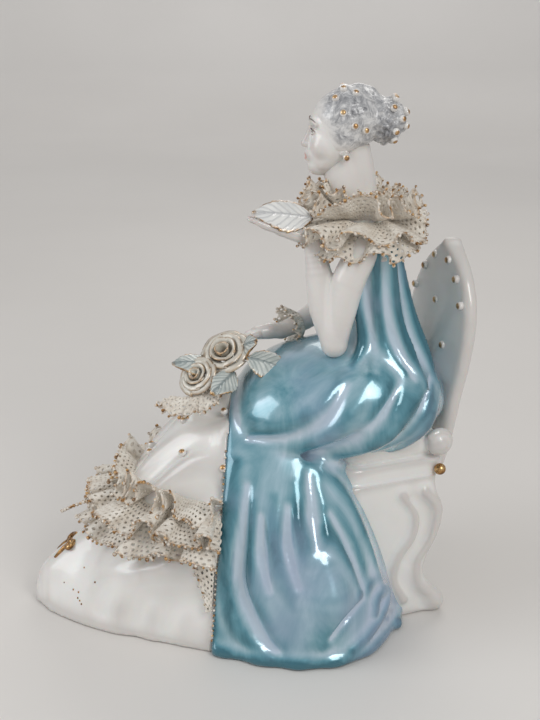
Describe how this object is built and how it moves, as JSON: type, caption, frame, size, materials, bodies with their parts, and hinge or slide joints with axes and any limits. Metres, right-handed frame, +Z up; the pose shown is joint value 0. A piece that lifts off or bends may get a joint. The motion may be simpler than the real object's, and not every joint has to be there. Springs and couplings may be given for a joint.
{
  "type": "porcelain figurine",
  "caption": "Glazed porcelain figurine of a lady in a lustre gown and lace ruffles, seated on a chair with a bouquet on her lap; it stands on its flat base.",
  "frame": {"origin": "centre of the bounding box's base, on the surface that the figurine stands on", "axes": "+Z up; the lady faces -X; her left side is towards -Y"},
  "size_m": [0.1763, 0.111, 0.2081],
  "materials": {
    "white_glaze": "glossy white glaze",
    "blue_lustre": "glossy blue lustre glaze",
    "bisque_lace": "matt cream bisque with worn gold edges",
    "skin_glaze": "soft white glaze",
    "hair_glaze": "white glaze with grey brush strokes",
    "bead_glaze": "white glaze with gold dots",
    "leaf_glaze": "white glaze with grey veins and gold edges",
    "rose_glaze": "cream glaze with brown-gold rims",
    "gold": "fired bright gold",
    "bare_body": "unglazed bisque"
  },
  "bodies": {
    "root": {"bodice": "blue_lustre", "bouquet_leaf_far": "leaf_glaze", "bouquet_leaf_left": "leaf_glaze", "bouquet_leaf_low": "leaf_glaze", "bouquet_leaf_right": "leaf_glaze", "bouquet_leaf_top": "leaf_glaze", "chair_back": "white_glaze", "chair_back_buttons": "bead_glaze", "chair_cushion": "white_glaze", "chair_left_panel": "white_glaze", "chair_rear_panel": "white_glaze", "chair_right_panel": "white_glaze", "chair_scrolls": "white_glaze", "chair_seat": "white_glaze", "collar_lower_tier": "bisque_lace", "collar_middle_tier": "bisque_lace", "collar_upper_tier": "bisque_lace", "cuff_lace": "bisque_lace", "ear_studs": "bead_glaze", "gown_lap": "blue_lustre", "gown_skirt": "blue_lustre", "hair_beads": "bead_glaze", "hair_bun": "hair_glaze", "hair_cap": "hair_glaze", "head": "skin_glaze", "hem_lace_tail": "bisque_lace", "hem_lower_tier": "bisque_lace", "hem_middle_tier": "bisque_lace", "hem_upper_tier": "bisque_lace", "left_forearm": "skin_glaze", "left_hand": "skin_glaze", "left_upper_arm": "skin_glaze", "neck_and_shoulders": "skin_glaze", "palm_leaf": "leaf_glaze", "petticoat_beads": "bead_glaze", "petticoat_panel": "white_glaze", "rail_bosses": "gold", "right_forearm": "skin_glaze", "right_hand": "skin_glaze", "right_upper_arm": "skin_glaze", "rose_far": "rose_glaze", "rose_large": "rose_glaze", "rose_small": "rose_glaze", "slipper": "white_glaze", "slipper_bow": "gold", "underside_plate": "bare_body", "white_train": "white_glaze"}
  },
  "joints": []
}
